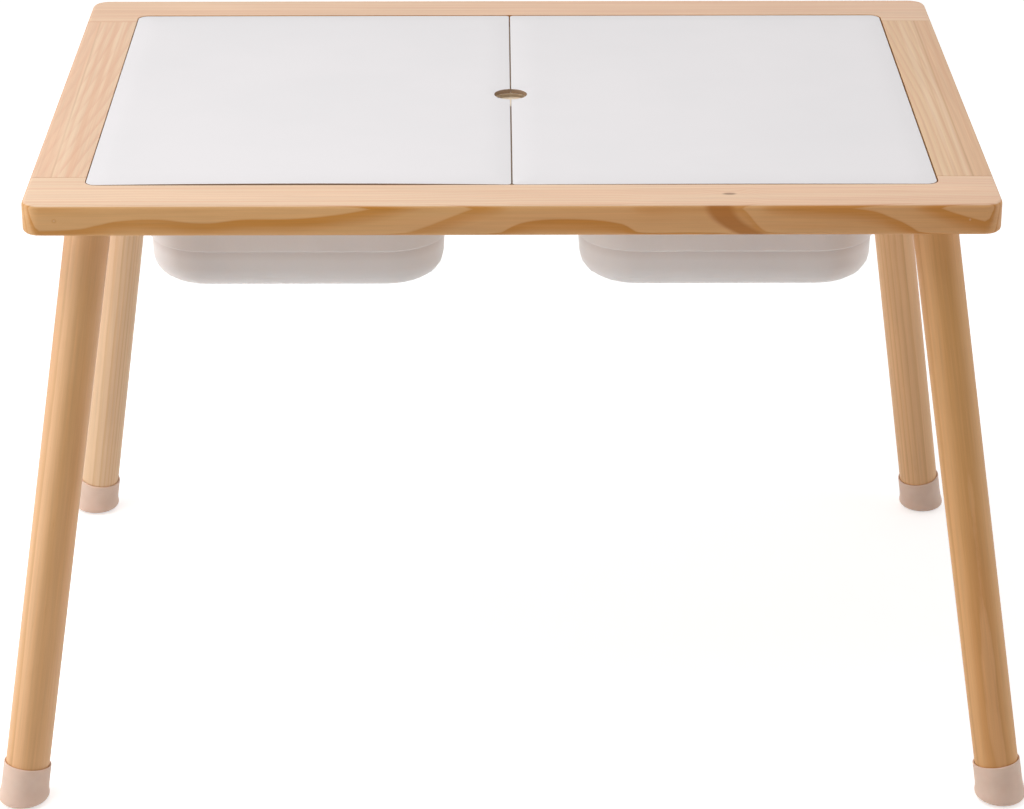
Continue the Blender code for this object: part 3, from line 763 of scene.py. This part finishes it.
def cap_profile():
    """Radii and heights of a cap's skin, from the middle of its sole up the outside and down its bore."""
    reach = CAP_BELLY - CAP_CONTACT
    half = (CAP_RIM - CAP_BORE) / 2
    profile = [(radius, 0.0) for radius in CAP_SOLE_RINGS]
    for angle in turns(QUARTER, CAP_FOOT_STEPS):
        profile.append((CAP_CONTACT + reach * math.sin(angle), CAP_BELLY_HEIGHT * (1 - math.cos(angle))))
    profile += CAP_NECK
    profile += [(CAP_RIM, height) for height in CAP_WALL_RINGS]
    for angle in turns(math.pi, CAP_RIM_STEPS):
        profile.append((CAP_BORE + half + half * math.cos(angle), CAP_TOP - half + half * math.sin(angle)))
    profile += [(CAP_BORE, height) for height in CAP_BORE_RINGS]
    return profile + [(CAP_FLOOR_RING, CAP_FLOOR)]


def build_cap(corner, material):
    """A soft cap on a foot: a thin wall that swells at its foot, then rounds in to stand on the floor."""
    foot, way = leg_line(f"leg_{corner}")
    bm = bmesh.new()
    loft(bm, [cap_ring(bm, foot, way, radius, height) for radius, height in cap_profile()])
    cap = add_piece(bm, f"foot_cap_{corner}", material)
    cap.data.polygons.foreach_set("use_smooth", [True] * len(cap.data.polygons))
    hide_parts(f"leg_cap_{corner}")
    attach(cap, "table")


# Lids

def corner_arc(x, y, radius, start):
    """A quarter turn about a point, anticlockwise from the angle start, in degrees."""
    angles = [math.radians(start) + angle for angle in turns(QUARTER, CORNER_STEPS)]
    return [(x + radius * math.cos(angle), y + radius * math.sin(angle)) for angle in angles]


def lid_outline(side, low, high, reach, inset):
    """A lid's outline, inset evenly: rounded corners, and half of the finger hole in its inner edge."""
    inner, outer = LID_SPLIT / 2, max(abs(low.x), abs(high.x)) + reach
    front, back = low.y + LID_SHY, high.y
    hole = FINGER_RADIUS + inset
    edge = math.acos((inner + inset) / hole)
    round_out, round_in = LID_OUTER_ROUND, LID_INNER_ROUND
    points = corner_arc(outer - round_out, front + round_out, round_out - inset, -90)
    points += corner_arc(outer - round_out, back - round_out, round_out - inset, 0)
    points += corner_arc(inner + round_in, back - round_in, round_in - inset, 90)
    bite = [edge - turn for turn in turns(2 * edge, HOLE_STEPS)]
    points += [(hole * math.cos(angle), hole * math.sin(angle)) for angle in bite]
    points += corner_arc(inner + round_in, front + round_in, round_in - inset, 180)
    return [(side * x, y) for x, y in points]


def cut_in_strips(bm, low, high):
    """Cuts a board lengthwise and crosswise, so that it can bow."""
    for normal in (Vector((1, 0, 0)), Vector((0, 1, 0))):
        for step in range(1, LID_STRIPS):
            place = low.lerp(high, step / LID_STRIPS)
            everything = bm.verts[:] + bm.edges[:] + bm.faces[:]
            bmesh.ops.bisect_plane(bm, geom=everything, plane_co=place, plane_no=normal)


def build_lid(end, material):
    """A lid as a coated board with eased edges, bowed up a hair along its front edge."""
    side, bow, reach = LIDS[end]
    low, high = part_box(f"lid_{end}")
    part = LID_EASE * LID_EASE_MIDDLE
    bm = bmesh.new()
    rings = []
    for inset, z in ((LID_EASE, low.z), (0, low.z + LID_EASE), (0, high.z - LID_EASE),
                     (part, high.z - part), (LID_EASE, high.z)):
        rings.append([bm.verts.new((x, y, z)) for x, y in lid_outline(side, low, high, reach, inset)])
    loft(bm, rings)
    cut_in_strips(bm, low, high)
    centre, half = (low + high) / 2, (high - low) / 2
    for vert in bm.verts:
        across = (vert.co.x - centre.x) / half.x
        front = max((centre.y - vert.co.y) / half.y, 0.0)
        vert.co.z += bow * (1 - across * across) * front * front
    board = add_piece(bm, f"board_lid_{end}", material)
    smooth_by_angle(board)
    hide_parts(f"lid_{end}")
    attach(board, f"{end}_lid")


def dress_fittings():
    """The caps, lids, bins and hardware."""
    silicone, steel, board, plastic = cap_silicone(), zinc_steel(), white_board(), bin_plastic()
    beech = pine("beech", ACROSS, round_rings((0.1, 0.3), 0.002), PALE_WOOD, PALE_WOOD, seed=90.0,
                 strength=0.3)
    for corner in LEG_WOOD:
        build_cap(corner, silicone)
    for end in LIDS:
        build_lid(end, board)
    materials = {"leg_cap": silicone, "leg_plate": steel, "hanger_bolt": steel, "plate_screw": steel,
                 "dowel": beech, "lid": board, "bin": plastic}
    for node in NODES:
        for start, material in materials.items():
            if node.startswith(start):
                dress(node, material)


# Studio

def build_camera():
    data = bpy.data.cameras.new("camera")
    data.sensor_fit = "HORIZONTAL"
    data.sensor_width = SENSOR_WIDTH
    data.lens = FOCAL_PIXELS / PHOTO_WIDTH * SENSOR_WIDTH
    data.clip_start = NEAREST_SEEN
    data.clip_end = FURTHEST_SEEN
    camera = bpy.data.objects.new("camera", data)
    camera.location = CAMERA_EYE
    camera.rotation_euler = (QUARTER - CAMERA_PITCH, 0, -CAMERA_YAW)
    bpy.context.scene.collection.objects.link(camera)
    bpy.context.scene.camera = camera


def build_lights():
    for name, (location, target, power) in LIGHTS.items():
        data = bpy.data.lights.new(name, "AREA")
        data.shape = "SQUARE"
        data.size = LIGHT_SIZE
        data.energy = power
        light = bpy.data.objects.new(name, data)
        light.location = location
        light.rotation_euler = (Vector(target) - Vector(location)).to_track_quat("-Z", "Y").to_euler()
        bpy.context.scene.collection.objects.link(light)


def seen_ray(graph):
    """1 for rays from the camera and for those that gloss and glass send out."""
    path = graph.node("ShaderNodeLightPath").outputs
    seen = graph.math("MAXIMUM", path["Is Camera Ray"], path["Is Glossy Ray"])
    return graph.math("MAXIMUM", seen, path["Is Transmission Ray"])


def build_world():
    """White where it is seen, and otherwise a soft light that comes more from behind."""
    world = bpy.data.worlds.new("studio")
    bpy.context.scene.world = world
    world.use_nodes = True
    graph = Graph(world.node_tree)
    background = world.node_tree.nodes["Background"]
    graph.put(WHITE, background.inputs["Color"])
    way = graph.split(graph.node("ShaderNodeTexCoord").outputs["Generated"])
    light = graph.math("MULTIPLY_ADD", way["Y"], WORLD_LEAN, WORLD_LIGHT)
    strength = graph.node("ShaderNodeMix", {"A": light, "B": 1.0, "Factor": seen_ray(graph)})
    graph.link(strength.outputs["Result"], background.inputs["Strength"])


def floor_material():
    """White that keeps its shadow: lifted to white where it is seen, and clear from below."""
    material = blank_material("floor")
    graph = Graph(material.node_tree)
    diffuse = graph.node("ShaderNodeBsdfDiffuse", {"Color": FLOOR_TONE})
    lift = graph.math("MULTIPLY", seen_ray(graph), FLOOR_LIFT)
    glow = graph.node("ShaderNodeEmission", {"Strength": lift})
    above = graph.node("ShaderNodeAddShader", {0: diffuse.outputs[0], 1: glow.outputs[0]})
    clear = graph.node("ShaderNodeBsdfTransparent")
    below = graph.node("ShaderNodeNewGeometry").outputs["Backfacing"]
    both = graph.node("ShaderNodeMixShader", {"Fac": below, 1: above.outputs[0], 2: clear.outputs[0]})
    graph.node("ShaderNodeOutputMaterial", {"Surface": both.outputs[0]})
    return material


def build_floor():
    bm = bmesh.new()
    bmesh.ops.create_grid(bm, x_segments=1, y_segments=1, size=FLOOR_REACH)
    floor = add_piece(bm, "floor", floor_material())
    floor.location.z = -FLOOR_DROP


dress_rails()
dress_legs()
dress_fittings()
build_camera()
build_world()
build_floor()
build_lights()
bpy.context.scene.view_settings.view_transform = "Standard"
